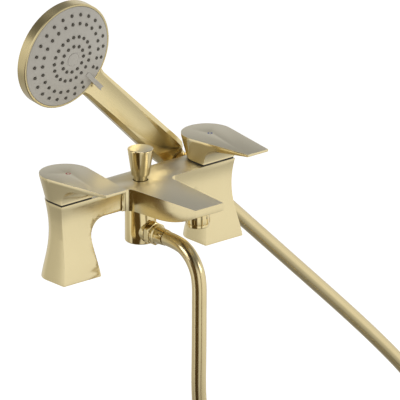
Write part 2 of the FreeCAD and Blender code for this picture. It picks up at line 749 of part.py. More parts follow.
# ---------------------------------------------------------------- hose outlet
def hose_outlet():
    """The threaded tail, its washer, the hose's own nut and the ferrule crimped on the hose."""
    tail = turned("outlet_tail", [
        (waterway_radius, housing_bore + 1), (outlet_thread - 2 - static_gap, housing_bore + 1),
        (outlet_thread - 2 - static_gap, boss_reach), (outlet_thread, boss_reach),
        (outlet_thread, boss_reach + 5), (waterway_radius, boss_reach + 5)])
    place(tail, 0, diverter_y, outlet_height, TO_BATH)
    washer = turned("outlet_washer", [
        (waterway_radius, 0), (outlet_thread, 0), (outlet_thread, 1.5), (waterway_radius, 1.5)])
    place(washer, 0, diverter_y - boss_reach - 5, outlet_height, TO_BATH)

    bar = doc.addObject("Part::Prism", "outlet_nut_bar")
    bar.Polygon = 6
    bind(bar, "Circumradius", nut_flats / math.sqrt(3))
    bind(bar, "Height", nut_length - 4)
    place(bar, 0, 0, 0, FreeCAD.Rotation(V(0, 0, 1), 30))
    trim = turned("outlet_nut_trim", [
        (0, 0), (nut_flats / 2, 0), (nut_flats / 2 + 1.4, 1), (nut_flats / 2 + 1.4, nut_length - 5),
        (nut_flats / 2 - 0.2, nut_length - 4), (0, nut_length - 4)], node=False)
    hexagon = doc.addObject("Part::Common", "outlet_nut_hexagon")
    hexagon.Base = bar
    hexagon.Tool = trim
    collar = turned("outlet_nut_collar", [
        (0, nut_length - 4), (nut_flats / 2 - 0.8, nut_length - 4), (nut_flats / 2 - 0.8, nut_length - 1),
        (nut_flats / 2 - 2, nut_length), (0, nut_length)], node=False)
    thread = rod("outlet_nut_thread", outlet_thread + static_gap, nut_length - 2, None, 0, 0, -1)
    neck = rod("outlet_nut_neck", hose_diameter / 2 - 0.4, nut_length + 2, None, 0, 0, -1)
    nut = cut("outlet_nut", joined("outlet_nut_solid", [hexagon, collar]), [thread, neck])
    place(keep("outlet_nut", nut), 0, diverter_y - boss_reach - 0.6, outlet_height, TO_BATH)

    start = boss_reach + 6.5
    ferrule_start = boss_reach + 0.6 + nut_length + moving_gap
    end = ferrule_start + ferrule_length
    hose_radius = hose_diameter / 2
    ferrule = turned("outlet_ferrule", [
        (waterway_radius - 1, start), (outlet_thread, start), (outlet_thread, start + 1.4),
        (hose_radius - 0.5, start + 1.4), (hose_radius - 0.5, ferrule_start),
        (hose_radius + 1.6, ferrule_start), (hose_radius + 1.2, ferrule_start + 2),
        (hose_radius + 0.5, end - 1), (hose_radius, end), (waterway_radius - 1, end)])
    place(ferrule, 0, diverter_y, outlet_height, TO_BATH)
    return end


outlet_end = hose_outlet()


# ---------------------------------------------------------------- aerator
def aerator():
    """A screwed housing with its flow straightener and seal."""
    top = aerator_shoulder - static_gap
    waist = aerator_bottom + 3.6
    housing = turned("aerator_housing", [
        (aerator_neck - 2, aerator_bottom), (aerator_radius - 1.1, aerator_bottom),
        (aerator_radius - 0.5, aerator_bottom + 0.6), (aerator_radius - 0.5, waist - 0.5),
        (aerator_radius - 1.1, waist - 0.2), (aerator_radius - 1.1, waist), (aerator_radius, waist + 0.4),
        (aerator_radius, top), (aerator_neck - 2, top)])
    place(housing, 0, -aerator_reach, 0)
    disc = rod("straightener_disc", aerator_neck - 2.05, 5)
    holes = []
    for ring_radius, count in ((0, 1), (2.8, 6), (5.4, 12)):
        for number in range(count):
            angle = 2 * math.pi * number / count
            holes.append(rod("straightener_hole_%d_%d" % (count, number), 0.95, 7, None,
                             ring_radius * math.cos(angle), ring_radius * math.sin(angle), -1))
    straightener = keep("flow_straightener", cut("flow_straightener", disc, holes))
    place(straightener, 0, -aerator_reach, aerator_bottom + 1)
    seal = turned("aerator_seal", [
        (aerator_neck - 2, 0), (aerator_neck, 0), (aerator_neck, 1.4), (aerator_neck - 2, 1.4)])
    place(seal, 0, -aerator_reach, top)


aerator()


# ---------------------------------------------------------------- handset
handset_turn = FreeCAD.Rotation(V(0, 1, 0), -lean.number).multiply(FreeCAD.Rotation(V(0, 0, 1), -handset_spin.number))
handset_spot = V(handset_x.number, handset_y.number, handset_z.number)
handset_frame = FreeCAD.Placement(handset_spot, handset_turn)
face_turn = FreeCAD.Rotation(V(1, 0, 0), 90 + head_tilt.number)
head_frame = FreeCAD.Placement(V(0, -head_forward.number, head_distance.number), face_turn)
face_frame = handset_frame.multiply(head_frame)
inner_radius = head_radius - head_wall
face_edge = inner_radius - moving_gap


def on_handle(piece):
    """Put a piece drawn about the handle's axis on the leaning handset."""
    return place(piece, handset_x, handset_y, handset_z, handset_turn)


def on_head(piece):
    """Put a piece drawn about the spray face's axis on the head."""
    piece.Placement = face_frame
    return piece


def sweep_of(radius, rise):
    """Radius of the arc that rises by this much over this half width."""
    return (radius * radius + rise * rise) / (rise * 2)


def slab_section(half_width, half_depth, bevel):
    """The handle's section: flat front and back with bevelled corners."""
    slope = bevel * 0.6
    return [(bevel - half_width, -half_depth), (half_width - bevel, -half_depth),
            (half_width, slope - half_depth), (half_width, half_depth - bevel),
            (half_width - bevel, half_depth), (bevel - half_width, half_depth),
            (-half_width, half_depth - bevel), (-half_width, slope - half_depth)]


def handset_body():
    """Handle and dished head in one shell, with a waterway up the handle."""
    rings = []
    for number, (height, half_width, half_depth, bevel) in enumerate((
            (0, handle_half_width - 3.2, handle_half_depth - 1.3, 3),
            (5, handle_half_width - 0.6, handle_half_depth - 0.2, 4.3),
            (14, handle_half_width, handle_half_depth, 4.6),
            (head_distance - 60, neck_half_width, neck_half_depth, 4.2),
            (head_distance - 55, neck_half_width + 1.2, neck_half_depth, 4.2),
            (head_distance - 51, neck_half_width + 3.8, neck_half_depth, 4.2),
            (head_distance - 48, neck_half_width + 7.6, neck_half_depth, 4.2),
            (handle_length, neck_half_width + 7.6, neck_half_depth, 4.2))):
        outline = slab_section(half_width, half_depth, bevel)
        rings.append(level_sketch("handle_ring_%d" % number, outline, 0, 0, height))
    handle = ruled_loft("handle", rings, True)
    back = sweep_of(head_radius, head_back - head_band) - head_back
    dish = turned("head_dish", [
        (0, -head_back), (head_radius, -head_band, 0, back), (head_radius, -0.7),
        (head_radius - 0.7, 0), (0, 0)], node=False)
    dish.Placement = head_frame
    deep = head_back - head_wall
    band = head_band - 0.4
    inner_back = sweep_of(inner_radius, deep - band) - deep
    hollow = turned("head_hollow", [
        (0, -deep), (inner_radius, -band, 0, inner_back), (inner_radius, 30), (0, 30)], node=False)
    hollow.Placement = head_frame
    bore = rod("handle_bore", waterway_radius, handle_length - 2, None, 0, 0, -1)
    mouth = rod("handle_mouth", spigot_radius - 2, 13, None, 0, 0, -1)
    channel = rod("handle_channel", channel_radius, handle_length, FreeCAD.Rotation(V(1, 0, 0), -1.4),
                  0, -1 * (handle_half_depth + channel_radius), channel_start)
    grip = cut("grip", handle, [channel])
    shell = cut("handset_body", joined("handset_solid", [grip, dish]), [hollow, bore, mouth])
    on_handle(keep("handset_body", shell))
    tail = spigot_radius - 2 - static_gap
    on_handle(turned("handset_spigot", [
        (waterway_radius, -9), (spigot_radius, -9), (spigot_radius, 0), (tail, 0), (tail, 11),
        (waterway_radius, 11)]))
    on_handle(turned("handset_washer", [
        (waterway_radius, -10.5), (spigot_radius, -10.5), (spigot_radius, -9), (waterway_radius, -9)]))


def dome_height(radius, drop=0):
    """Height of the spray face's dome, or of a surface this far under it, at a radius."""
    sweep = sweep_of(inner_radius, plate_rise)
    inside = sweep - drop
    return root(inside * inside - sized(radius) * radius) - sweep + plate_rise


def ring_spot(ring_radius, count, missing):
    angle = math.radians(-90 + 360.0 / count * (1 if missing else 0.5))
    return V(ring_radius * math.cos(angle), ring_radius * math.sin(angle))


def ring_pattern(body, feature, sketch, count, missing):
    """Repeat one nozzle feature round the spray face's axis."""
    ring = body.newObject("PartDesign::PolarPattern", feature.Name + "_ring")
    ring.Originals = [feature]
    ring.Axis = (sketch, ["N_Axis"])
    ring.Mode = "Extent"
    ring.Occurrences = count - missing
    ring.Angle = 360.0 - 720.0 / count if missing else 360
    body.Tip = ring
    return ring


NOZZLE_RINGS = ((44, 24, 1), (35.7, 24, 1), (22.9, 20, 0), (13.6, 12, 0))


def spin_body(label, outline):
    """A lathe-turned body that further features are added to."""
    body = doc.addObject("PartDesign::Body", label)
    sketch = body_sketch(body, label + "_outline", "XZ_Plane", outline)
    spin = body.newObject("PartDesign::Revolution", label + "_spin")
    spin.Profile = sketch
    spin.ReferenceAxis = (sketch, ["V_Axis"])
    spin.Angle = 360
    return body


def spray_face():
    """The domed spray plate with its selector tab, the rubber nozzles behind it, hub, screw and cap."""
    centre = plate_rise - sweep_of(inner_radius, plate_rise)
    recess = cap_radius + static_gap
    rim_top = dome_height(recess)
    floor = rim_top - 3.4
    bore = hub_radius + running_gap
    body = spin_body("spray_plate", [
        (bore, floor - 3.6), (bore + 4.5, floor - 3.6), (bore + 4.5, dome_height(bore + 4.5, plate_thickness)),
        (face_edge, dome_height(face_edge, plate_thickness), 0, centre), (face_edge, dome_height(face_edge)),
        (recess, rim_top, 0, centre), (recess, floor), (bore, floor)])
    tab = body_sketch(body, "selector_tab_outline", "XY_Plane", [
        (-tab_half, tab_inset - face_edge), (-tab_half, -face_edge - tab_overhang),
        (tab_half, -face_edge - tab_overhang, 0, -face_edge - tab_overhang),
        (tab_half, tab_inset - face_edge)], tab_lift)
    lug = body.newObject("PartDesign::Pad", "selector_tab")
    lug.Profile = tab
    lug.Length = tab_thickness.number
    lug.setExpression("Length", tab_thickness.text)
    doc.recompute()
    volume = body.Shape.Volume
    for ring_radius, count, missing in NOZZLE_RINGS:
        hole = body_sketch(body, "nozzle_hole_%d" % ring_radius, "XY_Plane", None, -20)
        spot = ring_spot(ring_radius, count, missing)
        hole.addGeometry(Part.Circle(spot, V(0, 0, 1), (nozzle_radius + static_gap).number), False)
        size = hole.addConstraint(Sketcher.Constraint("Radius", 0, (nozzle_radius + static_gap).number))
        hole.setExpression("Constraints[%d]" % size, (nozzle_radius + static_gap).text)
        pocket = body.newObject("PartDesign::Pocket", "nozzle_pocket_%d" % ring_radius)
        pocket.Profile = hole
        pocket.Type = 0
        pocket.Length = 45
        pocket.Reversed = True
        doc.recompute()
        ring_pattern(body, pocket, hole, count, missing)
        doc.recompute()
        if body.Shape.Volume > volume - (count - missing) * 10:
            raise RuntimeError("the nozzle holes at radius %s were not cut" % ring_radius)
        volume = body.Shape.Volume
    on_head(keep("spray_plate", body))

    mat_edge = face_edge - 3
    mat_core = bore + 4.8
    under = plate_thickness + static_gap
    mat = spin_body("spray_nozzles", [
        (mat_core, dome_height(mat_core, under + 1.2)), (mat_edge, dome_height(mat_edge, under + 1.2), 0, centre),
        (mat_edge, dome_height(mat_edge, under)), (mat_core, dome_height(mat_core, under), 0, centre)])
    for ring_radius, count, missing in NOZZLE_RINGS:
        start = dome_height(ring_radius, under + 0.8)
        tip = body_sketch(mat, "nozzle_tip_%d" % ring_radius, "XY_Plane", None, start)
        tip.addGeometry(Part.Circle(ring_spot(ring_radius, count, missing), V(0, 0, 1), nozzle_radius.number), False)
        size = tip.addConstraint(Sketcher.Constraint("Radius", 0, nozzle_radius.number))
        tip.setExpression("Constraints[%d]" % size, nozzle_radius.text)
        pad = mat.newObject("PartDesign::Pad", "nozzle_pad_%d" % ring_radius)
        pad.Profile = tip
        reach = dome_height(ring_radius) + nozzle_proud - start
        pad.Length = reach.number
        pad.setExpression("Length", reach.text)
        doc.recompute()
        ring_pattern(mat, pad, tip, count, missing)
        doc.recompute()
    on_head(keep("spray_nozzles", mat))

    cap = turned("centre_cap", [
        (0, rim_top - 1.2), (cap_radius, rim_top - 1.2), (cap_radius, rim_top),
        (cap_radius - 0.5, rim_top + 0.5), (0, rim_top + 0.7)])
    on_head(cap)
    hub_top = floor + moving_gap
    chamber = turned("chamber_blank", [
        (0, -9), (inner_radius - static_gap, -9), (inner_radius - static_gap, chamber_thickness - 9),
        (hub_radius, chamber_thickness - 9), (hub_radius, hub_top), (1.6, hub_top), (1.6, 0), (0, 0)],
        node=False)
    ports = []
    for number in range(6):
        angle = math.radians(60 * number + 30)
        ports.append(rod("chamber_port_%d" % number, 4, 8, None, 30 * math.cos(angle), 30 * math.sin(angle), -11))
    on_head(keep("spray_chamber", cut("spray_chamber", chamber, ports)))
    screw = turned("face_screw", [
        (0, 0.4), (1.5, 0.4), (1.5, hub_top), (hub_radius + 1.2, hub_top), (hub_radius + 1.2, hub_top + 0.8),
        (1.4, hub_top + 1.2), (1.4, hub_top + 0.6), (0, hub_top + 0.6)])
    on_head(screw)


def hand_nut():
    """The conical nut that hangs in the cradle, and the ferrule crimped on the end of the hose."""
    neck = hose_diameter / 2 - 0.3
    on_handle(turned("handset_nut", [
        (spigot_radius + static_gap, -0.5), (cone_top_radius - 0.5, -0.5), (cone_top_radius, -1),
        (cone_bottom_radius, 0.6 - cone_length), (cone_bottom_radius - 0.6, -cone_length),
        (neck + static_gap, -cone_length), (neck + static_gap, -12.1), (spigot_radius + static_gap, -12.1)]))
    hose_radius = hose_diameter / 2
    top = -cone_length - moving_gap
    on_handle(turned("handset_ferrule", [
        (waterway_radius, -10.5), (waterway_radius, -hand_ferrule_end), (hose_radius, -hand_ferrule_end),
        (hose_radius + 0.6, 1 - hand_ferrule_end), (hose_radius + 1.2, top - 1.5), (hose_radius + 1.2, top),
        (neck, top), (neck, -12), (spigot_radius, -12), (spigot_radius, -10.5)]))


handset_body()
spray_face()
hand_nut()


# ---------------------------------------------------------------- handset cradle
def cradle():
    """A slotted cone on a foot that is screwed to the back of the cold pillar."""
    top = cradle_drop
    bottom = cradle_drop + cradle_length
    slope = (cone_top_radius - cone_bottom_radius) / (cone_length - 1.6)
    upper = cone_top_radius - slope * (top - 1) + moving_gap
    lower = cone_top_radius - slope * (bottom - 1) + moving_gap
    sleeve = turned("cradle_sleeve", [
        (0, -bottom), (lower + cradle_wall, -bottom), (upper + cradle_wall, -top), (0, -top)], node=False)
    on_handle(sleeve)
    core = turned("cradle_core", [
        (0, -bottom - 20), (lower - slope * 20, -bottom - 20), (upper + slope * 20, 20 - top), (0, 20 - top)],
        node=False)
    on_handle(core)
    slot = brick("cradle_opening", 4 * cone_top_radius, cradle_slot, cradle_length + 20)
    shift = FreeCAD.Placement(V(0, -cradle_slot.number / 2, -bottom.number - 10), FreeCAD.Rotation())
    slot.Placement = handset_frame.multiply(shift)
    pad_x, pad_z = cradle_spot()
    foot = brick("cradle_foot", 2 * cradle_pad_half, handset_y - cradle_pad_back - static_gap,
                 bridge_thickness - 6, pad_x - cradle_pad_half, cradle_pad_back + static_gap,
                 pad_z - bridge_thickness / 2 + 3)
    front = brick("cradle_front_trim", 90, 30, 90, pad_x - 45, cradle_pad_back + static_gap - 30, pad_z - 45)
    hole = rod("cradle_screw_hole", cradle_screw_radius + static_gap, 30, TO_BATH, pad_x, handset_y, pad_z)
    sink = rod("cradle_sink", 2 * cradle_screw_radius + 0.3, 12, FROM_BATH, pad_x, cradle_pad_back + 2, pad_z)
    solid = joined("cradle_solid", [sleeve, foot])
    keep("handset_cradle", cut("handset_cradle", solid, [core, slot, front, hole, sink]))
    screw = turned("cradle_screw", [
        (0, -2 - cradle_screw_depth), (cradle_screw_radius, -2 - cradle_screw_depth),
        (cradle_screw_radius, 0), (2 * cradle_screw_radius, 0), (2 * cradle_screw_radius, 1.2),
        (1.2, 1.6), (1.2, 0.6), (0, 0.6)])
    place(screw, pad_x, cradle_pad_back + 2, pad_z, FROM_BATH)


cradle()


# ---------------------------------------------------------------- hose
def hose(label, points):
    """One stretch of hose: straight runs joined by arcs that are tangent to both."""
    points = [V(*point) for point in points]
    joints = [(points[0], points[0])]
    arcs = []
    for before, here, after in zip(points, points[1:], points[2:]):
        arrive = (here - before).normalize()
        leave = (after - here).normalize()
        turn = arrive.getAngle(leave)
        reach = 0.45 * min((here - before).Length, (after - here).Length)
        radius = reach / math.tan(turn / 2)
        first, last = here - arrive * reach, here + leave * reach
        centre = first + (last - first) / 2
        outward = (here - centre).normalize()
        apex = here - outward * (radius / math.cos(turn / 2) - radius)
        arcs.append(Part.Arc(first, apex, last))
        joints.append((first, last))
        print("%s bend: turn %.1f degrees, radius %.1f" % (label, math.degrees(turn), radius))
    joints.append((points[-1], points[-1]))
    edges = []
    for number, (leave, arrive) in enumerate(zip(joints, joints[1:])):
        edges.append(Part.LineSegment(leave[1], arrive[0]).toShape())
        if number < len(arcs):
            edges.append(arcs[number].toShape())
    path = Part.Wire(edges)
    start = (points[1] - points[0]).normalize()
    circle = Part.Wire([Part.makeCircle(hose_diameter.number / 2, points[0], start)])
    tube = path.makePipeShell([circle], True, False)
    expected = math.pi * hose_diameter.number ** 2 / 4 * path.Length
    print("%s length %.1f, volume ratio %.5f" % (label, path.Length, tube.Volume / expected))
    item = doc.addObject("Part::Feature", label)
    item.Shape = tube
    return keep(label, item)


front_exit = -(outlet_end.number - diverter_y.number)
up_handset = handset_turn.multVec(V(0, 0, 1))
rear_exit = handset_spot - up_handset * hand_ferrule_end.number
coil_centre = V(150, -45, -287.6)
coil_entry = (coil_centre.x - coil_radius.number, coil_centre.y - coil_half_width.number / 2, coil_centre.z)
coil_leave = (coil_centre.x, coil_centre.y + coil_half_width.number / 2, coil_centre.z - coil_radius.number)
hose("hose_front", [
    (0, front_exit, outlet_height.number), (0, -64, outlet_height.number), (0, -77.9, 23.8),
    (0, -88.5, 13.2), (0, -94.2, -0.7), (0, -94, -28), (1, -92.5, -75), (4, -88, -125), (19, -78, -175),
    (46, -64, -222), coil_entry])
hose("hose_rear", [
    coil_leave, (215, -33, -363.6), (290, -4, -363.2), (355.7, 26, -362.6), (396.2, 34.5, -335.3),
    (414.5, 36.2, -290), tuple(rear_exit - up_handset * 421.8 + handset_turn.multVec(V(3, 0, 0))),
    tuple(rear_exit - up_handset * 60), tuple(rear_exit)])


def hose_coil():
    """The spare length, wound on itself in a flat ring and held by a strap."""
    hose_radius = hose_diameter / 2
    inner, outer = coil_radius - hose_radius, coil_radius + hose_radius
    side = coil_half_width - hose_radius
    ring = turned("hose_coil", [
        (inner, -side), (coil_radius, -coil_half_width, coil_radius, -side),
        (outer, -side, coil_radius, -side), (outer, side),
        (coil_radius, coil_half_width, coil_radius, side), (inner, side, coil_radius, side)])
    place(ring, coil_centre.x, coil_centre.y, coil_centre.z, TO_BATH)
    angle = 45
    spin = FreeCAD.Rotation(V(0, 1, 0), angle)
    spot = V(-math.sin(math.radians(angle)), 0, -math.cos(math.radians(angle)))
    spot = coil_centre + spot * coil_radius.number
    made = []
    for name, extra, longer in (("tie_band", strap, 0), ("tie_space", sized(0), 2)):
        sizes = [tie_width + longer, (coil_half_width + 0.5 + extra) * 2, (hose_radius + 0.5 + extra) * 2]
        item = brick(name, *sizes)
        half = V(*[size.number / 2 for size in sizes])
        item.Placement = FreeCAD.Placement(spot - spin.multVec(half), spin)
        made.append(item)
    band, space = made
    keep("hose_tie", cut("hose_tie", band, [space]))


hose_coil()


# ---------------------------------------------------------------- checks and files
doc.recompute()
faults = [item.Name for item in doc.Objects if "Invalid" in item.State or "Error" in item.State]
for label, piece in parts.items():
    if piece.Shape.isNull() or not piece.Shape.isValid() or not piece.Shape.Solids:
        faults.append(label)
if faults:
    raise RuntimeError("these did not build: " + ", ".join(faults))
os.makedirs("parts", exist_ok=True)
for label, piece in parts.items():
    piece.Shape.exportStep("parts/%s.step" % label)
print("%d pieces written" % len(parts))
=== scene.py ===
import bpy
import json
import math
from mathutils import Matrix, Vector


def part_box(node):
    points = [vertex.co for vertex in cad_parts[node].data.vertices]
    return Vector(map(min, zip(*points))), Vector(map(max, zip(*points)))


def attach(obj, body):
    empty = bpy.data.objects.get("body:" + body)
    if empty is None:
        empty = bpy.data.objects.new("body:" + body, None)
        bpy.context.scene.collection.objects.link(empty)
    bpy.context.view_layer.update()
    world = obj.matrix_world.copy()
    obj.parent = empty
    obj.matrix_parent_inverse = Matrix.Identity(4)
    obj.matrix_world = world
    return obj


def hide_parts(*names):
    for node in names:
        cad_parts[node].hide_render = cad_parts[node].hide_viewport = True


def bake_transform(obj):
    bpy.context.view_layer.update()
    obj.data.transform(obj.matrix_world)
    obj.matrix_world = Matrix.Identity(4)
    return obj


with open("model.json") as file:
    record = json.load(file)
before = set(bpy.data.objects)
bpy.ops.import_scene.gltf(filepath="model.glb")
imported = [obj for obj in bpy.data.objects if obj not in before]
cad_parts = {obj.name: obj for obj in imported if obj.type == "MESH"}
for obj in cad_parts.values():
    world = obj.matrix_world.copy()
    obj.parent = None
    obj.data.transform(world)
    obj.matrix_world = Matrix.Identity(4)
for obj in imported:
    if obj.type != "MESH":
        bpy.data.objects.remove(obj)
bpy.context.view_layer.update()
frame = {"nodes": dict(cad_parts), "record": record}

# ---------------------------------------------------------------- Room
# A plain pale floor below the lowest loop of hose. It glows a little, so that it comes out white, and
# it doesn't show in the metal, which reflects the light tent instead. Nothing here belongs to the tap.
floor_size, floor_level = 60, -0.40
floor_glow = 0.75
bpy.ops.object.select_all(action="DESELECT")
bpy.ops.mesh.primitive_plane_add(size=floor_size, location=(0, 0, floor_level))
floor = bpy.context.object
floor.name = "floor"
paint = bpy.data.materials.new("pale_floor")
paint.use_nodes = True
nodes, links = paint.node_tree.nodes, paint.node_tree.links
shader = nodes["Principled BSDF"]
shader.inputs["Base Color"].default_value = (0.95, 0.95, 0.95, 1)
shader.inputs["Roughness"].default_value = 0.9
shader.inputs["Emission Strength"].default_value = floor_glow
mottle = nodes.new("ShaderNodeTexNoise")
mottle.inputs["Scale"].default_value = 3
tint = nodes.new("ShaderNodeMix")
tint.data_type = "RGBA"
tint.inputs["A"].default_value = (1.0, 1.0, 1.0, 1)
tint.inputs["B"].default_value = (0.98, 0.98, 0.98, 1)
links.new(mottle.outputs["Fac"], tint.inputs["Factor"])
links.new(tint.outputs["Result"], shader.inputs["Emission Color"])
floor.data.materials.append(paint)
floor.visible_glossy = False

# ---------------------------------------------------------------- Light tent
# A pale tent stands round the tap, with one warm dark panel to the left of the lens and a narrow dim one
# in front. Its walls are given by bearing in degrees and its brightness by height, from nadir to zenith.
PALE, WARM_DARK, DIM = (0.93, 0.93, 0.92), (0.10, 0.065, 0.025), (0.30, 0.27, 0.20)
LIGHT_GREY, MID_GREY = (0.80, 0.80, 0.80), (0.72, 0.72, 0.72)
walls = [(-180, WARM_DARK), (-142, WARM_DARK), (-130, PALE), (-104, PALE), (-97, DIM), (-90, DIM),
         (-82, PALE), (-30, PALE), (0, LIGHT_GREY), (35, MID_GREY), (75, MID_GREY),
         (100, (0.70, 0.69, 0.66)), (120, (0.58, 0.57, 0.53)), (140, (0.60, 0.59, 0.55)),
         (151, PALE), (161, PALE), (170, WARM_DARK)]
levels = [(0.0, 0.35), (0.22, 0.62), (0.34, 0.98), (0.58, 1.0), (0.68, 0.92), (0.76, 0.36), (0.88, 0.22),
          (1.0, 0.50)]
sky = bpy.data.worlds.new("light_tent")
bpy.context.scene.world = sky
sky.use_nodes = True
nodes, links = sky.node_tree.nodes, sky.node_tree.links
way = nodes.new("ShaderNodeTexCoord")
split = nodes.new("ShaderNodeSeparateXYZ")
links.new(way.outputs["Generated"], split.inputs["Vector"])
bearing = nodes.new("ShaderNodeMath")
bearing.operation = "ARCTAN2"
links.new(split.outputs["Y"], bearing.inputs[0])
links.new(split.outputs["X"], bearing.inputs[1])
once_round = nodes.new("ShaderNodeMapRange")
once_round.inputs["From Min"].default_value = -math.pi
once_round.inputs["From Max"].default_value = math.pi
links.new(bearing.outputs[0], once_round.inputs["Value"])
panels = nodes.new("ShaderNodeValToRGB")
panels.color_ramp.interpolation = "EASE"
stops = panels.color_ramp.elements
while len(stops) < len(walls):
    stops.new(0.5)
for stop, (degrees, shade) in zip(stops, walls):
    stop.position = (degrees + 180) / 360
    stop.color = (*shade, 1)
links.new(once_round.outputs["Result"], panels.inputs["Fac"])
height = nodes.new("ShaderNodeValToRGB")
height.color_ramp.interpolation = "EASE"
stops = height.color_ramp.elements
while len(stops) < len(levels):
    stops.new(0.5)
for stop, (place, shade) in zip(stops, levels):
    stop.position = place
    stop.color = (shade, shade, shade, 1)
up = nodes.new("ShaderNodeMapRange")
up.inputs["From Min"].default_value = -1
links.new(split.outputs["Z"], up.inputs["Value"])
links.new(up.outputs["Result"], height.inputs["Fac"])
tent = nodes.new("ShaderNodeMix")
tent.data_type = "RGBA"
tent.blend_type = "MULTIPLY"
tent.inputs["Factor"].default_value = 1.0
links.new(panels.outputs["Color"], tent.inputs["A"])
links.new(height.outputs["Color"], tent.inputs["B"])
ray = nodes.new("ShaderNodeLightPath")
seen = nodes.new("ShaderNodeMix")
seen.data_type = "RGBA"
links.new(ray.outputs["Is Camera Ray"], seen.inputs["Factor"])
links.new(tent.outputs["Result"], seen.inputs["A"])
seen.inputs["B"].default_value = (1.0, 1.0, 1.0, 1)
links.new(seen.outputs["Result"], nodes["Background"].inputs["Color"])
nodes["Background"].inputs["Strength"].default_value = 1.0
bpy.context.scene.view_settings.view_transform = "Standard"

# ---------------------------------------------------------------- Soft boxes
# Three small square soft boxes of the same power, to the left, in front and overhead, all turned to
# the tap. They aren't seen themselves.
box_power = 4
for name, place, aim, size in (
        ("left_box", (-1.6, 0.4, 0.8), (0.02, 0, 0.08), 0.7),
        ("front_box", (0.9, -1.6, 0.9), (0.02, 0, 0.05), 0.6),
        ("top_box", (0.1, 0.2, 1.8), (0.02, 0, 0.05), 0.8)):
    lamp = bpy.data.lights.new(name, "AREA")
    lamp.shape = "SQUARE"
    lamp.size = size
    lamp.energy = box_power
    box = bpy.data.objects.new(name, lamp)
    bpy.context.scene.collection.objects.link(box)
    box.location = place
    box.rotation_euler = (Vector(aim) - Vector(place)).to_track_quat("-Z", "Y").to_euler()
    box.visible_camera = False

# ---------------------------------------------------------------- Camera
# A very long lens a long way off, above and to the left of the spout, so that upright edges come out
# close to parallel.
aimed_at = Vector((0.05857, -0.0263, 0.04964))
toward = Vector((-0.6096, -0.7163, 0.3396)).normalized()
distance = 16.2
lens = bpy.data.cameras.new("camera")
lens.lens = 1500
lens.sensor_width = 36
lens.clip_start = 1
lens.clip_end = 60
camera = bpy.data.objects.new("camera", lens)
bpy.context.scene.collection.objects.link(camera)
camera.location = aimed_at + toward * distance
camera.rotation_mode = "QUATERNION"
camera.rotation_quaternion = (-toward).to_track_quat("-Z", "Y")
bpy.context.scene.camera = camera

# ---------------------------------------------------------------- Hose
# A smooth hose 1.75 m long with a satin brass coloured skin over a flexible tube. It leaves the outlet
# under the bridge, hangs, is wound once and a quarter and tied, and comes back up straight to the foot
# of the handset.
def grain_group():
    """Fine satin grain: streaks that change the colour, the roughness and the surface a little."""
    streak_share, cloud_share = 0.65, 0.35
    group = bpy.data.node_groups.new("satin_grain", "ShaderNodeTree")
    for way, label, kind in (
            ("INPUT", "Vector", "Vector"), ("INPUT", "Colour", "Color"), ("INPUT", "Shade", "Color"),
            ("INPUT", "Grain", "Float"), ("INPUT", "Smoothest", "Float"), ("INPUT", "Roughest", "Float"),
            ("OUTPUT", "Colour", "Color"), ("OUTPUT", "Roughness", "Float"), ("OUTPUT", "Height", "Float")):
        group.interface.new_socket(name=label, in_out=way, socket_type="NodeSocket" + kind)
    nodes, links = group.nodes, group.links
    taken = nodes.new("NodeGroupInput")
    given = nodes.new("NodeGroupOutput")
    streak = nodes.new("ShaderNodeTexNoise")
    streak.inputs["Detail"].default_value = 3
    links.new(taken.outputs["Vector"], streak.inputs["Vector"])
    links.new(taken.outputs["Grain"], streak.inputs["Scale"])
    cloud = nodes.new("ShaderNodeTexNoise")
    cloud.inputs["Scale"].default_value = 38
    cloud.inputs["Detail"].default_value = 2
    links.new(taken.outputs["Vector"], cloud.inputs["Vector"])
    both = nodes.new("ShaderNodeMath")
    both.operation = "MULTIPLY_ADD"
    both.inputs[1].default_value = cloud_share
    links.new(cloud.outputs["Fac"], both.inputs[0])
    fine = nodes.new("ShaderNodeMath")
    fine.operation = "MULTIPLY"
    fine.inputs[1].default_value = streak_share
    links.new(streak.outputs["Fac"], fine.inputs[0])
    links.new(fine.outputs[0], both.inputs[2])
    blend = nodes.new("ShaderNodeMix")
    blend.data_type = "RGBA"
    links.new(both.outputs[0], blend.inputs["Factor"])
    links.new(taken.outputs["Colour"], blend.inputs["A"])
    links.new(taken.outputs["Shade"], blend.inputs["B"])
    links.new(blend.outputs["Result"], given.inputs["Colour"])
    spread = nodes.new("ShaderNodeMapRange")
    links.new(both.outputs[0], spread.inputs["Value"])
    spread.inputs["From Min"].default_value = 0.3
    spread.inputs["From Max"].default_value = 0.7
    links.new(taken.outputs["Smoothest"], spread.inputs["To Min"])
    links.new(taken.outputs["Roughest"], spread.inputs["To Max"])
    links.new(spread.outputs["Result"], given.inputs["Roughness"])
    links.new(streak.outputs["Fac"], given.inputs["Height"])
    return group


grain = grain_group()


